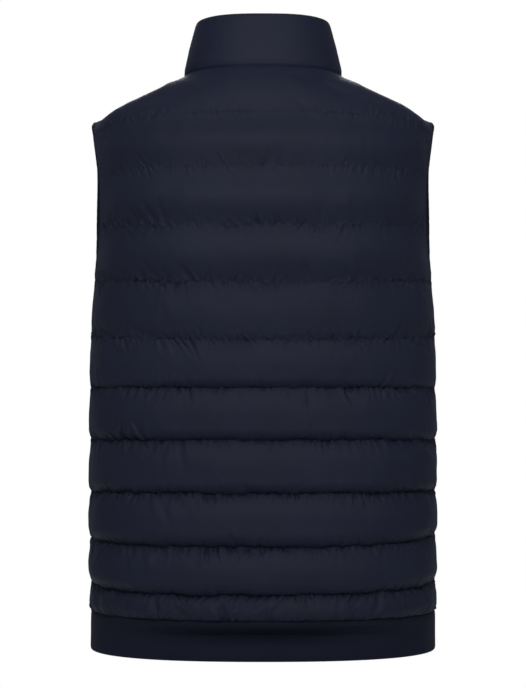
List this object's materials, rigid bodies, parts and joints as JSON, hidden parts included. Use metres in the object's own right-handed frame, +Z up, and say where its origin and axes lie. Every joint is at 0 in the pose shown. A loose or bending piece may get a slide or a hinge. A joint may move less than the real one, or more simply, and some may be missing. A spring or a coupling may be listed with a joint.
{
  "type": "quilted vest",
  "caption": "Sleeveless quilted vest with level wadded channels, a stand collar, bound armholes, a plain hem band and a full-length front zip, filled out as if worn.",
  "frame": {"origin": "midway between the wearer's shoulders, level with the middle of each shoulder seam and in the plane of the side and shoulder seams", "axes": "+Z up along the wearer's spine, +Y towards the back, +X towards the wearer's left; the zip runs down the front at -Y"},
  "size_m": [0.3996, 0.2533, 0.7239],
  "materials": {
    "shell": "fine navy woven polyester over wadding, soft sheen",
    "band": "matt dark navy fine knit",
    "zip_tape": "matt woven tape",
    "zip_teeth": "moulded dark navy plastic",
    "zip_metal": "dark satin enamel"
  },
  "bodies": {
    "vest": {"back": "shell", "front_left": "shell", "front_right": "shell", "collar": "shell", "hem_band": "band", "armhole_binding_left": "band", "armhole_binding_right": "band", "zip_tape_left": "zip_tape", "zip_tape_right": "zip_tape", "zip_chain": "zip_teeth", "zip_box": "zip_metal", "zip_slider": "zip_metal", "zip_stop_left": "zip_metal", "zip_stop_right": "zip_metal"},
    "pull_tab": {"zip_pull": "zip_metal"}
  },
  "joints": [
    {"name": "pull_tab_hinge", "type": "hinge", "parent": "vest", "child": "pull_tab", "pos_m": [0, -0.07193, 0.00507], "axis": [-1, 0, 0], "range_deg": [0, 165]}
  ]
}
